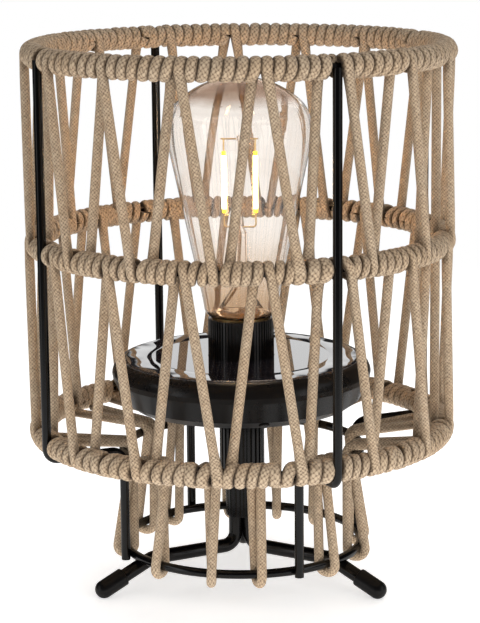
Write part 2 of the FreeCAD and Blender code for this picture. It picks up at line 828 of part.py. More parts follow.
def battery():
    """A round cell lying across the back of the head."""
    axis_height = floor_top_height + battery_floor_gap + battery_radius
    start = Vector(-battery_length / 2, battery_setback, axis_height)
    body = Part.makeCylinder(battery_radius, battery_length - battery_button_height, start, Vector(1, 0, 0))
    ends = [e for e in body.Edges if e.Closed]
    body = body.makeFillet(battery_button_height / 2, ends)
    tip_start = start + Vector(battery_length - 2 * battery_button_height, 0, 0)
    tip = Part.makeCylinder(battery_button_radius, 2 * battery_button_height, tip_start, Vector(1, 0, 0))
    return body.fuse(tip).removeSplitter()


def circuit_board():
    bottom = floor_top_height + board_lift
    corner = Vector(-board_width / 2, -board_setback - board_depth / 2, bottom)
    board = Part.makeBox(board_width, board_depth, board_thickness, corner)
    upright = [e for e in board.Edges if abs(e.BoundBox.ZLength - board_thickness) < rod_touch_gap]
    return board.makeFillet(standoff_radius, upright)


def board_parts():
    """The charge chip and the coil on the board."""
    top = floor_top_height + board_lift + board_thickness
    chip_corner = Vector(-board_width / 4 - chip_width / 2, -board_setback - chip_depth / 2, top)
    chip = Part.makeBox(chip_width, chip_depth, chip_height, chip_corner)
    coil = cylinder(coil_radius, top, top + coil_height, Vector(board_width / 4, -board_setback, 0))
    coil = coil.makeFillet(chip_height / 2, [e for e in coil.Edges if e.Closed and e.BoundBox.ZMin > top])
    return Part.makeCompound([chip, coil])


def main():
    """Builds each piece and writes it to its own file."""
    os.makedirs("parts", exist_ok=True)
    pieces = {
        "neck_ring": wire_ring(neck_radius, neck_wire_radius, neck_ring_height),
        "base_ring": wire_ring(neck_radius, neck_wire_radius, base_ring_height),
    }
    for bay, rod in zip(BAYS, RODS):
        pieces[rod] = cage_rod(bay_start(bay))
    for name, azimuth in LEGS:
        pieces[name] = leg(azimuth)
        pieces[name.replace("leg", "foot_tip")] = foot_tip(azimuth)
    wound = {"top": top_ring_height, "middle": middle_ring_height, "bottom": bottom_ring_height}
    for ring, height in wound.items():
        pieces[ring + "_ring"] = wound_wire_ring(ring_radius, ring_wire_radius, height)
        pieces[ring + "_winding"] = Part.makeCompound([winding(bay, height) for bay in BAYS])
    for bay in BAYS:
        pieces[bay + "_upper_lacing"] = lacing(bay, middle_ring_height, top_ring_height)
        pieces[bay + "_lower_lacing"] = lacing(bay, bottom_ring_height, middle_ring_height)
        pieces[bay + "_neck_lacing"] = neck_lacing(bay)
    pieces["upper_shell"] = upper_shell()
    pieces["lower_shell"] = lower_shell()
    pieces["shell_gasket"] = gasket()
    pieces["solar_cover"] = solar_cover()
    pieces["solar_cells"] = solar_cells()
    pieces["ribbed_collar"] = ribbed_collar()
    pieces["post_sleeve"] = post_sleeve()
    pieces["bulb_socket"] = bulb_socket()
    pieces["lamp_contact"] = lamp_contact()
    pieces["lamp_base"] = lamp_base()
    pieces["bulb_glass"] = bulb_glass()
    pieces["bulb_mount"] = bulb_mount()
    pieces["left_filament"] = filament(-1)
    pieces["right_filament"] = filament(1)
    pieces["filament_supports"] = filament_supports()
    pieces["housing_screws"] = screws()
    pieces["battery"] = battery()
    pieces["circuit_board"] = circuit_board()
    pieces["board_parts"] = board_parts()
    pieces["button_switch"] = switch_block()
    pieces["power_button"] = power_button()
    for name, shape in pieces.items():
        solids = shape.Solids
        volume = sum(solid.Volume for solid in solids)
        print(name, len(solids), round(volume, 1), "valid" if shape.isValid() else "NOT VALID")
        shape.exportStep("parts/" + name + ".step")


main()
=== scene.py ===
"""Looks of the solar table lamp: rope windings and lacing, coated wire, solar head and filament bulb."""
import bpy
import math
import numpy as np
from mathutils import Matrix


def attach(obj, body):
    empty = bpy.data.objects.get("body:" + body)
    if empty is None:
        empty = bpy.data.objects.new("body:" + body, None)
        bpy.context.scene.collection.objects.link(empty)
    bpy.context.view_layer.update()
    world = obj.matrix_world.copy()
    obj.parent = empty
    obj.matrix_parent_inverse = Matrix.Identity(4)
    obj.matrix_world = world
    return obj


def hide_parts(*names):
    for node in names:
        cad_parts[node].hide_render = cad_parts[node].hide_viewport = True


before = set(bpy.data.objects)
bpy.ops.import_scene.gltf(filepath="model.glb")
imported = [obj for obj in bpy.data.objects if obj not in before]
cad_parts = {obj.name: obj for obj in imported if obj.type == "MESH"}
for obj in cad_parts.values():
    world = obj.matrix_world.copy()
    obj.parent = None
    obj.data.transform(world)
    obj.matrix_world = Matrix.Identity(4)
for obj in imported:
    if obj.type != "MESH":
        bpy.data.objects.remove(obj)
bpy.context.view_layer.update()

MM = 0.001
FULL_TURN = 360.0

# Cage sizes, the same as the solids have
RING_RADIUS = 90.0 * MM
WIRE_RADIUS = 1.5 * MM
RING_HEIGHTS = {"top": 238.5 * MM, "middle": 155.7 * MM, "bottom": 71.0 * MM}
ROD_AZIMUTH = 27.0
BAYS = ("front", "right", "back", "left")
BAY_ANGLE = 90.0
NECK_RADIUS = 53.6 * MM
NECK_WIRE = 1.95 * MM
NECK_HEIGHT = 60.0 * MM
BASE_HEIGHT = 16.8 * MM

# Rope: round where it runs free, pressed wide and flat where it is wound
ROPE_RADIUS = 1.95 * MM
FREE_RADIUS = 2.12 * MM
WOUND_REACH = WIRE_RADIUS + ROPE_RADIUS
FREE_STEP = 3.0 * MM
LOOSENING = 12.0 * MM
ROPE_SIDES = 16
LOOP_SIDES = 14

# Winding: room between turns in degrees, and how the turns slant
COIL_PITCH = 3.0
LEAST_PITCH = 2.7
SQUEEZED_PITCH = 1.9
WIDEST_PITCH = 3.65
ROD_ROOM = 2.85
CREASE_OVERLAP = 1.04
FAN_LEAN = 0.4
FAN_TURNS = 6
UPRIGHT_SHARE = 0.36
OUTSIDE, TOP, INSIDE, UNDERSIDE = range(4)
QUARTER_STEPS = 6
SPREAD_ROUNDS = 200
SPREAD_SLACK = 1e-6

# Lacing, by its places in each bay in degrees
APEX_LEADS = {"front": 7.0, "right": 2.9, "back": 4.0, "left": 5.0}
APEX_PITCH = 21.7
APEX_COUNT = 4
STRAND_LEAN = 7.7
INNER_LEAD = 11.4
INNER_TRAIL = 3.3

# Neck loops: their places in each bay in degrees, how far their halves stand apart, and their bends
LOOP_LEADS = {
    "front": (22.0, 50.0, 71.6),
    "right": (18.5, 48.0, 75.0),
    "back": (24.4, 47.0, 72.0),
    "left": (13.4, 33.0, 71.5),
}
LOOP_SPREAD = 2.25 * MM
LOOP_FOOT_SPREAD = 0.9 * MM
LOOP_CLEARANCE = 0.1 * MM
LOOP_BENDS = (4.0 * MM, 3.6 * MM, 3.6 * MM, 4.0 * MM)
LOOP_LOOSENING = (0.0, 0.12, 0.88, 1.0)
STRAIGHT_STATIONS = 9
ARC_STATIONS = 9

# Unevenness of hand work
AZIMUTH_SLIP = 0.07
REACH_SLIP = 0.05 * MM
THICKNESS_SLIP = 0.025
LOOP_SWAY = 0.3
LOOP_SEED = 4


def polar(reach, azimuth, height):
    """A point at a distance from the lamp's axis, at an azimuth in degrees from the front."""
    angle = math.radians(azimuth)
    return np.array([reach * math.sin(angle), -reach * math.cos(angle), height])


def outwards(azimuth):
    """The level direction away from the lamp's axis."""
    return polar(1.0, azimuth, 0.0)


def bay_start(bay):
    """Azimuth of the rod at which a bay starts."""
    return ROD_AZIMUTH + BAY_ANGLE * (BAYS.index(bay) - 1)


def unit_rows(rows):
    """Each row of an array at length one."""
    return rows / np.linalg.norm(rows, axis=1, keepdims=True)


# Rope geometry

def rope_mesh(centres, faces_out, half_widths, half_thicks, wound, sides):
    """A rope as a closed tube: its run is U in metres and its girth is V from 0 to 1.

    The wound share goes from 1 where turns are pressed together to 0 where the rope runs free.
    """
    centres = np.array(centres)
    count = len(centres)
    heading = unit_rows(np.gradient(centres, axis=0))
    out = np.array(faces_out)
    out = unit_rows(out - heading * np.sum(out * heading, axis=1, keepdims=True))
    side = np.cross(heading, out)
    steps = np.arange(sides) * 2 * math.pi / sides
    wide = np.broadcast_to(half_widths, count)[:, None, None]
    thick = np.broadcast_to(half_thicks, count)[:, None, None]
    rings = (centres[:, None, :]
             + side[:, None, :] * wide * np.cos(steps)[None, :, None]
             + out[:, None, :] * thick * np.sin(steps)[None, :, None])
    run = np.concatenate([[0.0], np.cumsum(np.linalg.norm(np.diff(centres, axis=0), axis=1))])
    wound = np.broadcast_to(wound, count)
    verts = rings.reshape(-1, 3).tolist() + [centres[0].tolist(), centres[-1].tolist()]
    faces = []
    uvs = []
    pressed = []
    for i in range(count - 1):
        for j in range(sides):
            k = (j + 1) % sides
            faces.append((i * sides + j, i * sides + k, (i + 1) * sides + k, (i + 1) * sides + j))
            low, high = j / sides, (j + 1) / sides
            uvs += [(run[i], low), (run[i], high), (run[i + 1], high), (run[i + 1], low)]
            pressed += [(wound[i], 0.0), (wound[i], 0.0), (wound[i + 1], 0.0), (wound[i + 1], 0.0)]
    first, last = count * sides, count * sides + 1
    end = (count - 1) * sides
    for j in range(sides):
        k = (j + 1) % sides
        faces.append((first, k, j))
        uvs += [(run[0], 0.5), (run[0], (j + 1) / sides), (run[0], j / sides)]
        faces.append((last, end + j, end + k))
        uvs += [(run[-1], 0.5), (run[-1], j / sides), (run[-1], (j + 1) / sides)]
        pressed += [(1.0, 0.0)] * 6
    return verts, faces, uvs, pressed


def rope_object(name, parts, material, body, nodes):
    """Joins rope tubes into one piece that stands for the plain solids of the same ropes."""
    verts, faces, uvs, pressed = [], [], [], []
    for part_verts, part_faces, part_uvs, part_pressed in parts:
        start = len(verts)
        verts += part_verts
        faces += [tuple(start + index for index in face) for face in part_faces]
        uvs += part_uvs
        pressed += part_pressed
    mesh = bpy.data.meshes.new(name)
    mesh.from_pydata(verts, [], faces)
    for layer_name, values in (("rope_run", uvs), ("rope_wound", pressed)):
        layer = mesh.uv_layers.new(name=layer_name)
        layer.data.foreach_set("uv", np.array(values).ravel())
    mesh.shade_smooth()
    mesh.materials.append(material)
    piece = bpy.data.objects.new(name, mesh)
    bpy.context.scene.collection.objects.link(piece)
    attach(piece, body)
    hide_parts(*nodes)


def apexes(bay):
    """Azimuths at which a bay's outer ropes hang from the upper ring."""
    start = bay_start(bay)
    return [start + APEX_LEADS[bay] + APEX_PITCH * i for i in range(APEX_COUNT)]


def inner_top(bay, number):
    """Azimuth at which an inner rope meets the upper ring, just short of the next outer rope."""
    last = bay_start(bay) + BAY_ANGLE - INNER_TRAIL
    return min(apexes(bay)[number] + APEX_PITCH - INNER_TRAIL, last)


def loop_azimuths(bay):
    """Azimuths of the middles of a bay's neck loops."""
    return [bay_start(bay) + lead for lead in LOOP_LEADS[bay]]


def spread_out(places, least):
    """Moves azimuths apart, as little as it takes, until neighbours have the least distance."""
    places = np.array(places, dtype=float)
    for _ in range(SPREAD_ROUNDS):
        short = least - np.diff(places)
        if np.all(short <= SPREAD_SLACK):
            break
        push = np.clip(short, 0.0, None) / 2
        places[:-1] -= push
        places[1:] += push
    return places.tolist()


def ring_plan(ring):
    """Every turn of rope round one ring, in order: its kind, bay, number in the bay and outside azimuth.

    An outer rope of the lacing hangs from a "hang" and climbs up from a "climb", a "loop" is one end
    of a neck loop, a "coil" is a plain turn, and a "bridge" passes behind a cage rod and is open at
    the outside.
    """
    plan = []
    for bay in BAYS:
        guests = []
        if ring != "bottom":
            guests += [["hang", bay, i, apex] for i, apex in enumerate(apexes(bay))]
        if ring != "top":
            guests += [["climb", bay, i, apex + STRAND_LEAN] for i, apex in enumerate(apexes(bay))]
        if ring == "bottom":
            half = math.degrees(LOOP_SPREAD / RING_RADIUS)
            for i, azimuth in enumerate(loop_azimuths(bay)):
                guests += [["loop", bay, 2 * i, azimuth - half], ["loop", bay, 2 * i + 1, azimuth + half]]
        guests.sort(key=lambda guest: guest[3])
        for guest, azimuth in zip(guests, spread_out([guest[3] for guest in guests], LEAST_PITCH)):
            guest[3] = azimuth
        first = bay_start(bay) + ROD_ROOM
        last = bay_start(bay) + BAY_ANGLE - ROD_ROOM
        if guests[0][3] - first > SQUEEZED_PITCH:
            guests.insert(0, ["coil", bay, 0, first])
        if last - guests[-1][3] > SQUEEZED_PITCH:
            guests.append(["coil", bay, 0, last])
        for here, there in zip(guests, guests[1:]):
            gap = there[3] - here[3]
            steps = max(1, round(gap / COIL_PITCH))
            plan.append(here)
            plan += [["coil", bay, 0, here[3] + gap * i / steps] for i in range(1, steps)]
        plan.append(guests[-1])
        plan.append(["bridge", bay, 0, bay_start(bay) + BAY_ANGLE])
    return plan


def spaced_between(values, count):
    """Fills the unknown azimuths of a closed row of turns evenly between the known ones."""
    known = sorted(values)
    row = known + [known[0] + count]
    places = [values[index] for index in known] + [values[known[0]] + FULL_TURN]
    indices = np.arange(known[0], known[0] + count)
    result = [0.0] * count
    for index, place in zip(indices, np.interp(indices, row, places)):
        lap, index = divmod(index, count)
        result[index] = place - FULL_TURN * lap
    return result


class WoundRing:
    """The places of all turns round one ring, at its outside, top, inside and underside."""

    def __init__(self, ring):
        self.height = RING_HEIGHTS[ring]
        self.plan = ring_plan(ring)
        self.count = len(self.plan)
        self.outside = [turn[3] for turn in self.plan]
        self.climbs, self.hangs, self.loops, self.inner_tops = {}, {}, {}, {}
        turns = {"climb": self.climbs, "hang": self.hangs, "loop": self.loops}
        for index, (kind, bay, number, _) in enumerate(self.plan):
            if kind in turns:
                turns[kind][bay, number] = index
        inside = {index: self.outside[index] + INNER_LEAD - STRAND_LEAN for index in self.climbs.values()}
        for (bay, number), index in self.hangs.items():
            if number:
                source, earlier = bay, number - 1
                leaving = (index - 1) % self.count
            else:
                source, earlier = BAYS[BAYS.index(bay) - 1], APEX_COUNT - 1
                leaving = max(i for i, turn in enumerate(self.plan)
                              if turn[1] == source and turn[0] != "bridge")
            inside[leaving] = inner_top(source, earlier)
            self.inner_tops[source, earlier] = leaving
        self.inside = spaced_between(inside, self.count)

    def kind_at(self, quarter):
        """The kind of the turn that a quarter belongs to."""
        return self.plan[quarter // 4 % self.count][0]

    def lean(self, index):
        """How far a turn slants: not at all at a rope of the lacing or a rod, more with each turn after."""
        back = 0
        while back < FAN_TURNS and self.plan[(index - back) % self.count][0] in ("coil", "loop"):
            back += 1
        return FAN_LEAN * back / FAN_TURNS

    def azimuth(self, index, quarter):
        """Azimuth of a turn where it passes the ring's outside, top, inside or underside."""
        lap, index = divmod(index, self.count)
        outside = self.outside[index] + FULL_TURN * lap
        inside = self.inside[index] + FULL_TURN * lap
        next_lap, following = divmod(index + 1, self.count)
        after = self.outside[following] + FULL_TURN * (lap + next_lap)
        if quarter == OUTSIDE:
            return outside
        if quarter == TOP:
            return outside + (inside - outside) * UPRIGHT_SHARE + self.lean(index)
        if quarter == INSIDE:
            return inside
        return after - (after - inside) * UPRIGHT_SHARE - self.lean(following)

    def width(self, index):
        """Half the width of the rope at a turn, from the wider of the gaps to its neighbours."""
        place = self.azimuth(index, OUTSIDE)
        gap_before = place - self.azimuth(index - 1, OUTSIDE)
        gap_after = self.azimuth(index + 1, OUTSIDE) - place
        room = min(max(gap_before, gap_after), WIDEST_PITCH)
        return math.radians(room) * (RING_RADIUS + WOUND_REACH) / 2 * CREASE_OVERLAP

    def stations(self, quarters, dice=None):
        """Centres, outward faces and half widths of a rope over a run of quarter turns.

        A quarter's number is four times the turn's index plus its place from OUTSIDE to UNDERSIDE.
        Where the numbers fall, interp gives the azimuth and width of the run's last quarter to every
        station but the last, which gets those of the first quarter.
        """
        knots = np.array(quarters, dtype=float)
        azimuths = np.array([self.azimuth(*divmod(quarter, 4)) for quarter in quarters])
        widths = [self.width(round(quarter / 4)) for quarter in quarters]
        if dice is not None:
            azimuths = azimuths + dice.normal(0.0, AZIMUTH_SLIP, len(azimuths))
        fine = np.linspace(knots[0], knots[-1], (len(knots) - 1) * QUARTER_STEPS + 1)
        azimuth = smoothed(np.interp(fine, knots, azimuths), 2)
        width = smoothed(np.interp(fine, knots, widths), 3)
        reaches = np.full(len(fine), WOUND_REACH)
        if dice is not None:
            reaches = reaches + np.interp(fine, knots, dice.normal(0.0, REACH_SLIP, len(knots)))
        angle = fine * math.pi / 2
        radial = np.array([outwards(a) for a in azimuth])
        lift = np.array([0.0, 0.0, 1.0])
        face = radial * np.cos(angle)[:, None] + lift * np.sin(angle)[:, None]
        centre = radial * RING_RADIUS + lift * self.height + face * reaches[:, None]
        return centre, face, width


def smoothed(values, reach):
    """A running mean that keeps both ends where they are."""
    if len(values) < 4 * reach:
        return values
    kernel = np.ones(2 * reach + 1) / (2 * reach + 1)
    before = 2 * values[0] - values[reach:0:-1]
    after = 2 * values[-1] - values[-2:-reach - 2:-1]
    return np.convolve(np.concatenate([before, values, after]), kernel, mode="valid")


def winding_runs(ring):
    """The unbroken runs of one ring's winding, as quarter numbers from start to end.

    The winding breaks at the outside of a bridge, and round each turn that belongs to a rope of the
    lacing or of a neck loop.
    """
    broken = set()
    crests = set(ring.inner_tops.values())
    for index, (kind, *_) in enumerate(ring.plan):
        if kind == "coil":
            continue
        before = (index - 1) % ring.count
        after_crest = kind == "hang" and before in crests
        broken.update((4 * index - 1, 4 * index))
        if kind != "bridge":
            broken.add(4 * index + TOP)
        if kind == "climb" or after_crest:
            broken.add(4 * index - 2)
        if after_crest:
            broken.add(4 * before + TOP)
    total = 4 * ring.count
    broken = {quarter % total for quarter in broken}
    first = min(broken)
    runs, run = [], []
    for quarter in range(first + 1, first + 1 + total):
        if quarter % total not in broken:
            run.append(quarter)
        elif run:
            runs.append(run + [quarter])
            run = []
    return runs


def winding(ring, seed):
    """All the runs of a ring's winding as tubes, one station short where they end behind a rod."""
    dice = np.random.default_rng(seed)
    parts = []
    for run in winding_runs(ring):
        centre, face, width = ring.stations(run, dice)
        starts_behind = ring.kind_at(run[0]) == "bridge" and run[0] % 4 == TOP
        ends_behind = ring.kind_at(run[-1] + 1) == "bridge" and run[-1] % 4 == UNDERSIDE
        kept = slice(1 if starts_behind else 0, -1 if ends_behind else None)
        centre, face, width = centre[kept], face[kept], width[kept]
        uneven = 1 + dice.normal(0.0, THICKNESS_SLIP, len(run))
        thick = np.interp(np.arange(len(centre)), np.linspace(0, len(centre), len(run)), uneven)
        parts.append(rope_mesh(centre, face, width, ROPE_RADIUS * thick, 1.0, ROPE_SIDES))
    return parts


def joined(parts):
    """One tube through wound stretches joined by straight free ones."""
    centres, faces, wides, thicks, wounds = [], [], [], [], []
    for number, (centre, face, width) in enumerate(parts):
        if number:
            start, start_face, start_width = centres[-1], faces[-1], wides[-1]
            length = np.linalg.norm(centre[0] - start)
            count = max(4, int(length / FREE_STEP))
            shares = np.linspace(0.0, 1.0, count + 1)[1:-1]
            blend = LOOSENING / length
            free = np.interp(shares, [0.0, blend, 1.0 - blend, 1.0], [0.0, 1.0, 1.0, 0.0])
            free = free * free * (3 - 2 * free)
            for share, loose in zip(shares, free):
                centres.append(start + (centre[0] - start) * share)
                faces.append(start_face + (face[0] - start_face) * share)
                wound = start_width + (width[0] - start_width) * share
                wides.append(wound + (FREE_RADIUS - wound) * loose)
                thicks.append(ROPE_RADIUS + (FREE_RADIUS - ROPE_RADIUS) * loose)
                wounds.append(1.0 - loose)
        centres += list(centre)
        faces += list(face)
        wides += list(width)
        thicks += [ROPE_RADIUS] * len(centre)
        wounds += [1.0] * len(centre)
    return rope_mesh(centres, faces, np.array(wides), np.array(thicks), np.array(wounds), ROPE_SIDES)


def lacing(bay, low, high):
    """The outer and inner ropes of one bay between two rings, each with its wound ends."""
    parts = []
    for number in range(APEX_COUNT):
        hang = 4 * high.hangs[bay, number]
        climb = 4 * low.climbs[bay, number]
        crest = 4 * high.inner_tops[bay, number]
        over = high.stations([hang + INSIDE, hang + TOP, hang])
        under = low.stations([climb, climb - 1, climb - 2])
        parts.append(joined([over, under]))
        leave = high.stations([crest + TOP, crest + INSIDE])
        arrive = low.stations([climb + INSIDE, climb + UNDERSIDE])
        parts.append(joined([leave, arrive]))
    return parts


def rounded_line(points, bends):
    """Stations along straight runs joined by round bends."""
    shares = np.linspace(0.0, 1.0, STRAIGHT_STATIONS)[1:]
    places = [points[0]]
    for before, corner, after, bend in zip(points, points[1:], points[2:], bends):
        arriving = (corner - before) / np.linalg.norm(corner - before)
        leaving = (after - corner) / np.linalg.norm(after - corner)
        half = math.acos(np.clip(arriving @ leaving, -1.0, 1.0)) / 2
        setback = bend * math.tan(half)
        bisector = (leaving - arriving) / np.linalg.norm(leaving - arriving)
        centre = corner + bisector * bend / math.cos(half)
        start = corner - arriving * setback
        straight_start = places[-1]
        places += [straight_start + (start - straight_start) * share for share in shares[:-1]]
        for step in range(ARC_STATIONS):
            turn = 2 * half * step / (ARC_STATIONS - 1)
            places.append(centre + (start - centre) * math.cos(turn) + arriving * bend * math.sin(turn))
    last_start = places[-1]
    places += [last_start + (points[-1] - last_start) * share for share in shares]
    return places


def neck_loop(bay, number, ring, dice):
    """A rope from over the bottom ring, in across the neck ring, round the base ring and back."""
    azimuth = loop_azimuths(bay)[number]
    clear = NECK_WIRE + FREE_RADIUS + LOOP_CLEARANCE
    over_neck = NECK_HEIGHT + clear
    under_base = BASE_HEIGHT - clear
    spread = math.degrees(LOOP_SPREAD / NECK_RADIUS)
    foot_spread = math.degrees(LOOP_FOOT_SPREAD / NECK_RADIUS)
    sway = dice.normal(0.0, LOOP_SWAY)
    left, right = 4 * ring.loops[bay, 2 * number], 4 * ring.loops[bay, 2 * number + 1]
    first, first_face, first_width = ring.stations([right + INSIDE, right + TOP, right, right - 1])
    last, last_face, last_width = ring.stations([left - 1, left, left + TOP, left + INSIDE])
    points = [
        first[-1],
        polar(NECK_RADIUS - clear, azimuth + spread, over_neck),
        polar(NECK_RADIUS + clear, azimuth + foot_spread + sway, under_base),
        polar(NECK_RADIUS - clear, azimuth - foot_spread + sway, under_base),
        polar(NECK_RADIUS - clear, azimuth - spread, over_neck),
        last[0],
    ]
    middle = rounded_line(points, LOOP_BENDS)
    tangents = unit_rows(np.gradient(np.array(middle), axis=0))
    across = np.array([outwards(azimuth + 90.0)])
    middle_faces = np.cross(across, tangents)
    if np.dot(middle_faces[0], first_face[-1]) < 0:
        middle_faces = -middle_faces
    shares = np.linspace(0.0, 1.0, len(middle) - 2)
    wound_to_free = (
        (first_width[-1], FREE_RADIUS, FREE_RADIUS, last_width[0]),
        (ROPE_RADIUS, FREE_RADIUS, FREE_RADIUS, ROPE_RADIUS),
        (1.0, 0.0, 0.0, 1.0))
    free_wide, free_thick, free_wound = (
        np.interp(shares, LOOP_LOOSENING, values) for values in wound_to_free)
    places = list(first) + middle[1:-1] + list(last)
    faces = list(first_face) + list(middle_faces[1:-1]) + list(last_face)
    wide = np.concatenate([first_width, free_wide, last_width])
    thick = np.concatenate([np.full(len(first), ROPE_RADIUS), free_thick, np.full(len(last), ROPE_RADIUS)])
    wound = np.concatenate([np.ones(len(first)), free_wound, np.ones(len(last))])
    return rope_mesh(places, faces, wide, thick, wound, LOOP_SIDES)


# Shader building

def feed(tree, socket, value):
    """Sets a socket to a number or a colour, or links another socket into it."""
    if isinstance(value, (int, float)):
        socket.default_value = value
    elif isinstance(value, tuple):
        socket.default_value = (*value, 1.0)
    else:
        tree.links.new(value, socket)


def feed_inputs(tree, node, **values):
    """Feeds a node's inputs by name, with an underscore for each space."""
    for name, value in values.items():
        feed(tree, node.inputs[name.replace("_", " ")], value)


def new_group(name, inputs, outputs):
    """An empty shader node group with named sockets, and its two end nodes."""
    group = bpy.data.node_groups.new(name, "ShaderNodeTree")
    for socket_name, kind, value in inputs:
        socket = group.interface.new_socket(socket_name, in_out="INPUT", socket_type=kind)
        if value is not None:
            socket.default_value = value
    for socket_name, kind in outputs:
        group.interface.new_socket(socket_name, in_out="OUTPUT", socket_type=kind)
    return group, group.nodes.new("NodeGroupInput"), group.nodes.new("NodeGroupOutput")


def group_node(tree, group, **values):
    """The outputs of a shader node group, with its inputs fed by name."""
    node = tree.nodes.new("ShaderNodeGroup")
    node.node_tree = group
    feed_inputs(tree, node, **values)
    return node.outputs


def math_node(tree, operation, *values):
    """One step of arithmetic on numbers or sockets."""
    node = tree.nodes.new("ShaderNodeMath")
    node.operation = operation
    for socket, value in zip(node.inputs, values):
        feed(tree, socket, value)
    return node.outputs[0]


def mix_colour(tree, factor, first, second, blend="MIX"):
    """A blend of two colours, each a constant or a socket."""
    node = tree.nodes.new("ShaderNodeMix")
    node.data_type = "RGBA"
    node.blend_type = blend
    for index, value in ((0, factor), (6, first), (7, second)):
        feed(tree, node.inputs[index], value)
    return node.outputs[2]


def noise_node(tree, vector, scale, detail=3.0, roughness=0.55):
    """Soft noise between 0 and 1."""
    node = tree.nodes.new("ShaderNodeTexNoise")
    feed_inputs(tree, node, Vector=vector, Scale=scale, Detail=detail, Roughness=roughness)
    return node.outputs["Fac"]


def remap(tree, value, low, high, new_low=0.0, new_high=1.0):
    """Moves values from one range to another, and stops at its ends."""
    node = tree.nodes.new("ShaderNodeMapRange")
    feed_inputs(tree, node, Value=value, From_Min=low, From_Max=high, To_Min=new_low, To_Max=new_high)
    return node.outputs["Result"]


def band(tree, value, rise_from, rise_to, fall_from, fall_to):
    """A mask that rises to 1 over one range and falls back to 0 over a later one."""
    rise = remap(tree, value, rise_from, rise_to)
    return math_node(tree, "MULTIPLY", rise, remap(tree, value, fall_to, fall_from))


def axes(tree, vector):
    """The three parts of a vector."""
    node = tree.nodes.new("ShaderNodeSeparateXYZ")
    tree.links.new(vector, node.inputs[0])
    return node.outputs


def length_of(tree, vector):
    """The length of a vector."""
    node = tree.nodes.new("ShaderNodeVectorMath")
    node.operation = "LENGTH"
    tree.links.new(vector, node.inputs[0])
    return node.outputs["Value"]


def arch(tree, value):
    """A round hump over each whole step of a value."""
    return math_node(tree, "SINE", math_node(tree, "MULTIPLY", math_node(tree, "FRACT", value), math.pi))


# Braid: the length of a stitch, strands around, and a strand's height where it goes under another
STITCH = 1.65 * MM
STRANDS = 8.0
UNDERPASS = 0.55


def braid_group():
    """Fine over-and-under braid on a rope's run and girth: yarn height, a tone for each stitch, and pits."""
    group, start, end = new_group(
        "rope_braid",
        [("Run", "NodeSocketVector", None), ("Wander", "NodeSocketFloat", 0.0)],
        [("Height", "NodeSocketFloat"), ("Tone", "NodeSocketFloat"), ("Pit", "NodeSocketFloat")])
    run = axes(group, start.outputs["Run"])
    along = math_node(group, "ADD", math_node(group, "DIVIDE", run[0], STITCH), start.outputs["Wander"])
    around = math_node(group, "MULTIPLY", run[1], STRANDS)
    right = math_node(group, "ADD", along, around)
    left = math_node(group, "SUBTRACT", along, around)
    right_cell = math_node(group, "FLOOR", right)
    left_cell = math_node(group, "FLOOR", left)
    right_arch = arch(group, right)
    left_arch = arch(group, left)
    right_lift = math_node(group, "MULTIPLY_ADD", left_arch, 1.0 - UNDERPASS, UNDERPASS)
    left_lift = math_node(group, "MULTIPLY_ADD", right_arch, 1.0 - UNDERPASS, UNDERPASS)
    right_top = math_node(group, "MULTIPLY", right_arch, right_lift)
    left_top = math_node(group, "MULTIPLY", left_arch, left_lift)
    turn = math_node(group, "PINGPONG", math_node(group, "ADD", right_cell, left_cell), 1.0)
    chosen = math_node(group, "ADD", math_node(group, "MULTIPLY", right_top, turn),
                       math_node(group, "MULTIPLY", left_top, math_node(group, "SUBTRACT", 1.0, turn)))
    pit = math_node(group, "MULTIPLY", math_node(group, "SUBTRACT", 1.0, right_arch),
                    math_node(group, "SUBTRACT", 1.0, left_arch))
    cell = group.nodes.new("ShaderNodeCombineXYZ")
    feed_inputs(group, cell, X=right_cell, Y=left_cell)
    stitch = group.nodes.new("ShaderNodeTexWhiteNoise")
    stitch.noise_dimensions = "2D"
    feed_inputs(group, stitch, Vector=cell.outputs[0])
    height = math_node(group, "POWER", chosen, 0.6)
    feed_inputs(group, end, Height=height, Tone=stitch.outputs["Value"], Pit=pit)
    return group


def crease_group():
    """A mask for the two sides of a wound rope, where neighbouring turns meet, which places painted shade in
    the crease.
    """
    group, start, end = new_group(
        "rope_crease",
        [("Run", "NodeSocketVector", None), ("Wound", "NodeSocketVector", None)],
        [("Crease", "NodeSocketFloat")])
    girth = axes(group, start.outputs["Run"])[1]
    wound = axes(group, start.outputs["Wound"])[0]
    side = math_node(group, "COSINE", math_node(group, "MULTIPLY", girth, 2 * math.pi))
    side = remap(group, math_node(group, "ABSOLUTE", side), 0.60, 0.96)
    feed_inputs(group, end, Crease=math_node(group, "MULTIPLY", side, wound))
    return group


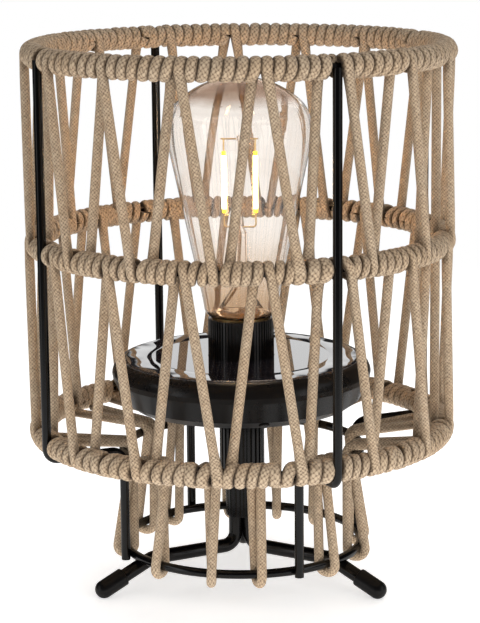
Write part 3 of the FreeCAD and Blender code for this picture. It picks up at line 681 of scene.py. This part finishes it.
def surface_grain_group():
    """Fine mottling, handling marks and tiny pits that coated and moulded surfaces share."""
    group, start, end = new_group(
        "surface_grain",
        [("Place", "NodeSocketVector", None), ("Colour", "NodeSocketColor", (0.02, 0.02, 0.02, 1.0)),
         ("Roughness", "NodeSocketFloat", 0.4), ("Variation", "NodeSocketFloat", 0.1),
         ("Grain size", "NodeSocketFloat", 900.0)],
        [("Colour", "NodeSocketColor"), ("Roughness", "NodeSocketFloat"), ("Height", "NodeSocketFloat")])
    place = start.outputs["Place"]
    pits = noise_node(group, place, start.outputs["Grain size"], 4.0, 0.5)
    broad = noise_node(group, place, 42.0, 3.0)
    marks = noise_node(group, place, 160.0, 5.0, 0.7)
    colour = group.nodes.new("ShaderNodeVectorMath")
    colour.operation = "SCALE"
    group.links.new(start.outputs["Colour"], colour.inputs[0])
    feed_inputs(group, colour, Scale=math_node(group, "MULTIPLY_ADD", broad, 0.9, 0.55))
    spread = math_node(group, "SUBTRACT", math_node(group, "ADD", broad, marks), 1.0)
    rough = math_node(group, "MULTIPLY_ADD", spread, start.outputs["Variation"], start.outputs["Roughness"])
    feed_inputs(group, end, Colour=colour.outputs[0], Roughness=rough, Height=pits)
    return group


BRAID = braid_group()
CREASE = crease_group()
GRAIN = surface_grain_group()


def new_material(name):
    """A new material, its nodes, and its shader."""
    material = bpy.data.materials.new(name)
    material.use_nodes = True
    tree = material.node_tree
    return material, tree, tree.nodes["Principled BSDF"]


def bump_from(tree, shader, height, distance):
    """Turns a height into the shader's normal, which it returns as well."""
    bump = tree.nodes.new("ShaderNodeBump")
    feed_inputs(tree, bump, Height=height, Distance=distance)
    feed_inputs(tree, shader, Normal=bump.outputs["Normal"])
    return bump.outputs["Normal"]


def object_place(tree):
    """The place on a piece, in metres from its origin."""
    return tree.nodes.new("ShaderNodeTexCoord").outputs["Object"]


def uv_place(tree, layer_name):
    """The place in one of a rope's two layers of UV."""
    node = tree.nodes.new("ShaderNodeUVMap")
    node.uv_map = layer_name
    return node.outputs["UV"]


# Colours of the rope: its lit yarn, its yarn in shade, which also gives darker stitches at random, the
# painted shade of its pits and creases, and a tint in patches
PALE_YARN = (0.505, 0.39, 0.272)
SHADED_YARN = (0.27, 0.197, 0.13)
ROPE_RECESS_SHADE = (0.06, 0.036, 0.02)
ROSY_TINT = (1.0, 0.93, 0.85)


def rope_material():
    """Braided rope: soft tones from stitch to stitch, painted shade on low strands and in the pits between
    them, and painted shade in the creases where turns meet.
    """
    material, tree, shader = new_material("braided_rope")
    run = uv_place(tree, "rope_run")
    place = object_place(tree)
    fibre = noise_node(tree, place, 2400.0, 3.0, 0.7)
    speck = noise_node(tree, place, 900.0, 2.0, 0.6)
    patch = noise_node(tree, place, 60.0, 2.0)
    wander = math_node(tree, "MULTIPLY", noise_node(tree, place, 420.0, 1.5), 1.1)
    braid = group_node(tree, BRAID, Run=run, Wander=wander)
    crease = group_node(tree, CREASE, Run=run, Wound=uv_place(tree, "rope_wound"))
    tone = math_node(tree, "MULTIPLY_ADD", braid["Tone"], 0.3, math_node(tree, "MULTIPLY", fibre, 0.4))
    tone = math_node(tree, "MULTIPLY_ADD", speck, 0.15, tone)
    # Painted shade: where the braid's strands run low, the yarn turns darker.
    tone = math_node(tree, "MULTIPLY_ADD", braid["Height"], 0.6, tone)
    yarn = mix_colour(tree, remap(tree, tone, 0.48, 1.12), SHADED_YARN, PALE_YARN)
    tinted = mix_colour(tree, remap(tree, patch, 0.4, 0.65, 0.0, 0.6), yarn, ROSY_TINT, "MULTIPLY")
    # Painted shade: the pits between stitches and the creases where turns meet darken towards one dark brown.
    pitted = mix_colour(tree, remap(tree, braid["Pit"], 0.1, 0.7, 0.0, 0.52), tinted, ROPE_RECESS_SHADE)
    creased = mix_colour(tree, math_node(tree, "MULTIPLY", crease["Crease"], 0.92), pitted, ROPE_RECESS_SHADE)
    rough = math_node(tree, "MULTIPLY_ADD", fibre, 0.2, 0.78)
    feed_inputs(tree, shader, Base_Color=creased, Roughness=rough)
    feed_inputs(tree, shader, Sheen_Weight=0.06, Sheen_Roughness=0.5, Specular_IOR_Level=0.12)
    bump_from(tree, shader, math_node(tree, "MULTIPLY_ADD", fibre, 0.4, braid["Height"]), 0.32 * MM)
    return material


def coated_material(name, colour, roughness, variation, grain_size, grain_depth, specular):
    """A coated or moulded finish with grain."""
    material, tree, shader = new_material(name)
    grain = group_node(tree, GRAIN, Place=object_place(tree), Colour=colour, Roughness=roughness,
                       Variation=variation, Grain_size=grain_size)
    feed_inputs(tree, shader, Base_Color=grain["Colour"], Roughness=grain["Roughness"])
    feed_inputs(tree, shader, Specular_IOR_Level=specular)
    bump_from(tree, shader, grain["Height"], grain_depth)
    return material


# The solar cover: its flat middle's radius and how fast it rolls off beyond
COVER_FLAT = 39.5 * MM
COVER_ROLL_OFF = -11.0


def panel_material():
    """Clear moulded cover over dark cells: a near mirror that rolls off and ripples towards its rim.

    The relief is in metres, so the bump takes it as it is.
    """
    material, tree, shader = new_material("panel_cover")
    place = object_place(tree)
    parts = axes(tree, place)
    level = tree.nodes.new("ShaderNodeCombineXYZ")
    feed_inputs(tree, level, X=parts[0], Y=parts[1])
    reach = length_of(tree, level.outputs[0])
    past_flat = math_node(tree, "MAXIMUM", math_node(tree, "SUBTRACT", reach, COVER_FLAT), 0.0)
    squared = math_node(tree, "MULTIPLY", past_flat, past_flat)
    roll_off = math_node(tree, "MULTIPLY", squared, COVER_ROLL_OFF)
    ripple = math_node(tree, "MULTIPLY", noise_node(tree, place, 42.0, 1.0, 0.5), past_flat)
    sag = math_node(tree, "MULTIPLY", noise_node(tree, place, 16.0, 1.0), 0.18 * MM)
    relief = math_node(tree, "ADD", roll_off, math_node(tree, "MULTIPLY_ADD", ripple, 0.3, sag))
    cell_lines = tree.nodes.new("ShaderNodeTexWave")
    feed_inputs(tree, cell_lines, Vector=place, Scale=120.0)
    line_mask = remap(tree, cell_lines.outputs["Fac"], 0.92, 1.0)
    cells = mix_colour(tree, line_mask, (0.012, 0.011, 0.016), (0.05, 0.05, 0.06))
    rough = math_node(tree, "MULTIPLY", noise_node(tree, place, 300.0, 4.0), 0.02)
    feed_inputs(tree, shader, Base_Color=cells, Roughness=rough)
    feed_inputs(tree, shader, IOR=2.1, Coat_Weight=1.0, Coat_Roughness=0.02, Coat_IOR=1.6)
    feed_inputs(tree, shader, Coat_Normal=bump_from(tree, shader, relief, 1.0))
    return material


# Bulb heights: the tint at its neck fades between the first two, and a painted reflection of the rope ring, a
# brown band at its crown, starts between the others
NECK_TINT = (124.0 * MM, 158.0 * MM)
CROWN_REFLECTION_HEIGHTS = (217.8 * MM, 222.6 * MM)


def bulb_glass_material():
    """Thin clear glass, amber at the neck, with a painted reflection of the rope ring as a brown band at the
    crown, open to the filament's light.
    """
    material, tree, shader = new_material("bulb_glass")
    place = object_place(tree)
    height = axes(tree, place)[2]
    tint = mix_colour(tree, remap(tree, height, *NECK_TINT), (0.74, 0.60, 0.46), (0.97, 0.93, 0.89))
    # Painted reflection: a brown band over the crown stands for the rope ring mirrored in the glass.
    reflection_edge = math_node(tree, "MULTIPLY_ADD", noise_node(tree, place, 40.0, 2.0), 6.0 * MM, height)
    tint = mix_colour(tree, remap(tree, reflection_edge, *CROWN_REFLECTION_HEIGHTS), tint, (0.52, 0.40, 0.32))
    rough = math_node(tree, "MULTIPLY", noise_node(tree, place, 60.0, 2.0), 0.02)
    feed_inputs(tree, shader, Base_Color=tint, Roughness=rough, Transmission_Weight=1.0, IOR=1.45)
    path = tree.nodes.new("ShaderNodeLightPath")
    clear = tree.nodes.new("ShaderNodeBsdfTransparent")
    feed_inputs(tree, clear, Color=(0.98, 0.93, 0.88))
    mixed = tree.nodes.new("ShaderNodeMixShader")
    sources = (path.outputs["Is Shadow Ray"], shader.outputs[0], clear.outputs[0])
    for socket, source in zip(mixed.inputs, sources):
        tree.links.new(source, socket)
    feed_inputs(tree, tree.nodes["Material Output"], Surface=mixed.outputs[0])
    return material


# Filament: the height of its middle, and how far from it the glow gives way to the coated tips
FILAMENT_MIDDLE = 180.5 * MM
FILAMENT_TIPS = (11.2 * MM, 12.0 * MM)


def filament_material():
    """A glowing rod: white along its length, yellow coating at both ends."""
    material, tree, shader = new_material("filament_glow")
    place = object_place(tree)
    from_middle = math_node(tree, "SUBTRACT", axes(tree, place)[2], FILAMENT_MIDDLE)
    from_middle = math_node(tree, "ABSOLUTE", from_middle)
    tip = remap(tree, from_middle, *FILAMENT_TIPS)
    coat = mix_colour(tree, noise_node(tree, place, 1500.0, 2.0), (1.0, 0.74, 0.02), (1.0, 0.82, 0.1))
    glow = mix_colour(tree, tip, (1.0, 0.66, 0.36), coat)
    strength = remap(tree, from_middle, *FILAMENT_TIPS, 110.0, 1.1)
    feed_inputs(tree, shader, Base_Color=coat, Roughness=0.5, Emission_Color=glow, Emission_Strength=strength)
    return material


def metal_material(name, colour, roughness, line_scale):
    """Plain metal with fine drawn or turned lines and duller stains."""
    material, tree, shader = new_material(name)
    place = object_place(tree)
    stretch = tree.nodes.new("ShaderNodeMapping")
    stretch.inputs["Scale"].default_value = line_scale
    feed_inputs(tree, stretch, Vector=place)
    lines = noise_node(tree, stretch.outputs[0], 900.0, 4.0)
    stain = remap(tree, noise_node(tree, place, 200.0, 3.0), 0.35, 0.75)
    dull = tuple(channel * 0.6 for channel in colour)
    rough = math_node(tree, "MULTIPLY_ADD", lines, 0.2, roughness)
    feed_inputs(tree, shader, Base_Color=mix_colour(tree, stain, colour, dull), Roughness=rough, Metallic=1.0)
    bump_from(tree, shader, lines, 0.02 * MM)
    return material


def board_material(name, base, trace):
    """Lacquered board with copper tracks under the lacquer."""
    material, tree, shader = new_material(name)
    place = object_place(tree)
    tracks = tree.nodes.new("ShaderNodeTexBrick")
    feed_inputs(tree, tracks, Vector=place, Scale=260.0)
    mask = remap(tree, tracks.outputs["Fac"], 0.2, 0.6)
    rough = math_node(tree, "MULTIPLY_ADD", noise_node(tree, place, 800.0), 0.2, 0.25)
    feed_inputs(tree, shader, Base_Color=mix_colour(tree, mask, base, trace), Roughness=rough)
    bump_from(tree, shader, mask, 0.05 * MM)
    return material


def clear_glass_material(name, tint):
    """The glass of the stem inside the bulb, as thin as drawn glass looks there."""
    material, tree, shader = new_material(name)
    streak = noise_node(tree, object_place(tree), 90.0, 2.0)
    streaked = mix_colour(tree, streak, tint, (1.0, 0.98, 0.96))
    rough = math_node(tree, "MULTIPLY", streak, 0.04)
    feed_inputs(tree, shader, Base_Color=streaked, Roughness=rough, Transmission_Weight=1.0, IOR=1.07)
    return material


# Ropes

def make_ropes():
    """All the rope: three wound rings, two tiers of lacing and the neck loops."""
    rope = rope_material()
    dice = np.random.default_rng(LOOP_SEED)
    rings = {name: WoundRing(name) for name in RING_HEIGHTS}
    for seed, (name, ring) in enumerate(rings.items()):
        rope_object("rope_winding_" + name, winding(ring, seed), rope, "cage", [name + "_winding"])
    for bay in BAYS:
        for tier, low, high in (("upper", "middle", "top"), ("lower", "bottom", "middle")):
            ropes = lacing(bay, rings[low], rings[high])
            rope_object(f"rope_lacing_{tier}_{bay}", ropes, rope, "cage", [f"{bay}_{tier}_lacing"])
        loops = [neck_loop(bay, number, rings["bottom"], dice) for number in range(len(LOOP_LEADS[bay]))]
        rope_object("rope_neck_loops_" + bay, loops, rope, "cage", [bay + "_neck_lacing"])


# Finishes: colour, roughness and its variation, grain size, grain depth, specular level
COATINGS = {
    "black_powder_coat": ((0.0016, 0.0015, 0.0016), 0.17, 0.08, 1400.0, 0.01 * MM, 0.5),
    "moulded_black_shell": ((0.0036, 0.0033, 0.0035), 0.28, 0.1, 700.0, 0.01 * MM, 0.45),
    "matt_black_moulding": ((0.0022, 0.0021, 0.0023), 0.2, 0.08, 800.0, 0.02 * MM, 0.45),
    "tip_rubber": ((0.0028, 0.0026, 0.0026), 0.3, 0.12, 1100.0, 0.04 * MM, 0.4),
    "cell_sleeve": ((0.05, 0.16, 0.36), 0.28, 0.08, 600.0, 0.01 * MM, 0.5),
}


def finish_nodes():
    """Gives each carried-over solid its finish, by the ending of its name."""
    wire, shell, dull, rubber, sleeve = (coated_material(name, *values) for name, values in COATINGS.items())
    steel = metal_material("zinc_steel", (0.62, 0.62, 0.6), 0.28, (1.0, 1.0, 0.1))
    brass = metal_material("contact_brass", (0.82, 0.6, 0.3), 0.25, (1.0, 1.0, 1.0))
    stem_glass = clear_glass_material("stem_glass", (1.0, 0.93, 0.86))
    board = board_material("board_lacquer", (0.01, 0.09, 0.035), (0.05, 0.2, 0.07))
    glow = filament_material()
    finishes = {
        "_ring": wire, "_rod": wire, "_leg": wire, "_foot_tip": rubber,
        "upper_shell": shell, "lower_shell": shell, "shell_gasket": rubber, "solar_cover": panel_material(),
        "solar_cells": dull, "ribbed_collar": dull, "post_sleeve": dull, "bulb_socket": dull,
        "bulb_glass": bulb_glass_material(), "bulb_mount": stem_glass, "left_filament": glow,
        "right_filament": glow, "filament_supports": brass, "lamp_contact": brass, "lamp_base": brass,
        "housing_screws": steel, "battery": sleeve, "circuit_board": board, "board_parts": dull,
        "button_switch": dull, "power_button": dull,
    }
    for name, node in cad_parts.items():
        for ending, material in finishes.items():
            if name.endswith(ending):
                node.data.materials.clear()
                node.data.materials.append(material)


# Room: its strength as light and in reflections, and the directions of what reflections find there
ROOM_LIGHT = 0.38
SCREEN_STRENGTH = 0.97
STRIP_STRENGTH = 1.2
DARK_STRENGTH = 0.02
SCREEN_MIDDLE = -0.035
SCREEN_EDGES = (0.11, 0.07)
SCREEN_HEIGHTS = (0.07, 0.11, 0.28, 0.34)
STRIP_EDGES = (0.74, 0.80, 0.87, 0.93)
HORIZON_BLEND = 0.1

# Floor and lights, in metres, degrees and watts
FLOOR_REACH = 0.9
FLOOR_CORNERS = 96
FLOOR_FADE = (0.3, 0.8)
FLOOR_GLOW = 0.5
FLOOR_BOUNCE = 1.4
LIGHTS_AIM = 0.12
LIGHTS = {
    "right_soft_box": {"azimuth": 34.0, "elevation": 8.0, "distance": 1.5, "size": 2.0, "watts": 19.5},
    "left_soft_box": {"azimuth": -55.0, "elevation": 12.0, "distance": 1.6, "size": 1.9, "watts": 8.0},
    "back_soft_box": {"azimuth": 170.0, "elevation": 40.0, "distance": 1.6, "size": 1.8, "watts": 15.0},
}

# Camera: lens and sensor in millimetres, places in metres, angles in radians
CAMERA_LENS = 130.41
CAMERA_SENSOR = 36.0
CAMERA_TURN = math.radians(2.0)
CAMERA_DISTANCE = 0.98858
CAMERA_SIDEWAYS = -0.000393
CAMERA_HEIGHT = 0.32189
CAMERA_DIP = 0.1994
CAMERA_ROLL = -0.009


def make_world():
    """A room that is white to the camera and through glass, and dimmer as light.

    Reflections find it dark, apart from a white screen low behind the lamp and a strip at each side.
    """
    world = bpy.data.worlds.new("studio")
    bpy.context.scene.world = world
    world.use_nodes = True
    tree = world.node_tree
    side, depth, height = axes(tree, tree.nodes.new("ShaderNodeTexCoord").outputs["Generated"])
    from_screen = math_node(tree, "ABSOLUTE", math_node(tree, "SUBTRACT", side, SCREEN_MIDDLE))
    behind = remap(tree, depth, 0.0, HORIZON_BLEND)
    across = math_node(tree, "MULTIPLY", remap(tree, from_screen, *SCREEN_EDGES), behind)
    screen = math_node(tree, "MULTIPLY", across, band(tree, height, *SCREEN_HEIGHTS))
    in_front = remap(tree, depth, HORIZON_BLEND, -HORIZON_BLEND)
    strip = band(tree, math_node(tree, "ABSOLUTE", side), *STRIP_EDGES)
    strip = math_node(tree, "MULTIPLY", strip, in_front)
    mirrored = math_node(tree, "MULTIPLY_ADD", strip, STRIP_STRENGTH, DARK_STRENGTH)
    mirrored = math_node(tree, "MULTIPLY_ADD", screen, SCREEN_STRENGTH, mirrored)
    path = tree.nodes.new("ShaderNodeLightPath").outputs
    plain = math_node(tree, "MAXIMUM", path["Is Camera Ray"], path["Is Transmission Ray"])
    change = math_node(tree, "SUBTRACT", mirrored, ROOM_LIGHT)
    glossy = math_node(tree, "MULTIPLY_ADD", path["Is Glossy Ray"], change, ROOM_LIGHT)
    strength = math_node(tree, "MAXIMUM", plain, glossy)
    feed_inputs(tree, tree.nodes["Background"], Color=(1.0, 1.0, 1.0), Strength=strength)


def make_floor():
    """A pale sheet under the lamp that fades into the white room, and keeps the lamp's soft shadow."""
    mesh = bpy.data.meshes.new("studio_floor")
    corners = [tuple(polar(FLOOR_REACH, FULL_TURN * i / FLOOR_CORNERS, 0.0)) for i in range(FLOOR_CORNERS)]
    mesh.from_pydata(corners, [], [tuple(range(FLOOR_CORNERS))])
    floor = bpy.data.objects.new("studio_floor", mesh)
    bpy.context.scene.collection.objects.link(floor)
    material, tree, shader = new_material("studio_floor_paper")
    feed_inputs(tree, shader, Base_Color=(0.93, 0.93, 0.93), Roughness=0.9, Specular_IOR_Level=0.1)
    reach = length_of(tree, object_place(tree))
    feed_inputs(tree, shader, Alpha=remap(tree, reach, *FLOOR_FADE, 1.0, 0.0))
    path = tree.nodes.new("ShaderNodeLightPath").outputs
    bounced = math_node(tree, "MULTIPLY", path["Is Diffuse Ray"], FLOOR_BOUNCE)
    strength = math_node(tree, "MULTIPLY_ADD", path["Is Camera Ray"], FLOOR_GLOW, bounced)
    feed_inputs(tree, shader, Emission_Color=(1.0, 1.0, 1.0), Emission_Strength=strength)
    mesh.materials.append(material)


def area_light(name, azimuth, elevation, distance, size, watts):
    """A round soft light that is aimed at the lamp and that reflections don't show."""
    light = bpy.data.lights.new(name, "AREA")
    light.shape = "DISK"
    light.size = size
    light.energy = watts
    rise = math.radians(elevation)
    place = polar(distance * math.cos(rise), azimuth, LIGHTS_AIM + distance * math.sin(rise))
    aim = np.array([0.0, 0.0, LIGHTS_AIM]) - place
    tilt = math.acos(-aim[2] / np.linalg.norm(aim))
    lamp = bpy.data.objects.new(name, light)
    lamp.location = place
    lamp.rotation_mode = "XYZ"
    lamp.rotation_euler = (tilt, 0.0, math.atan2(aim[1], aim[0]) - math.pi / 2)
    lamp.visible_glossy = False
    bpy.context.scene.collection.objects.link(lamp)


def make_camera():
    """The photograph's view: two degrees round to the right, a little above the lamp."""
    camera = bpy.data.cameras.new("camera")
    camera.sensor_fit = "AUTO"
    camera.sensor_width = CAMERA_SENSOR
    camera.lens = CAMERA_LENS
    eye = bpy.data.objects.new("camera", camera)
    eye.location = (
        CAMERA_DISTANCE * math.sin(CAMERA_TURN) + CAMERA_SIDEWAYS * math.cos(CAMERA_TURN),
        -CAMERA_DISTANCE * math.cos(CAMERA_TURN) + CAMERA_SIDEWAYS * math.sin(CAMERA_TURN),
        CAMERA_HEIGHT)
    eye.rotation_mode = "XYZ"
    tilt = Matrix.Rotation(math.pi / 2 - CAMERA_DIP, 4, "X")
    look = Matrix.Rotation(CAMERA_TURN, 4, "Z") @ tilt @ Matrix.Rotation(CAMERA_ROLL, 4, "Z")
    eye.rotation_euler = look.to_euler("XYZ")
    bpy.context.scene.collection.objects.link(eye)
    bpy.context.scene.camera = eye


make_ropes()
finish_nodes()
make_world()
make_floor()
for light_name, values in LIGHTS.items():
    area_light(light_name, **values)
make_camera()
bpy.context.scene.view_settings.view_transform = "Standard"
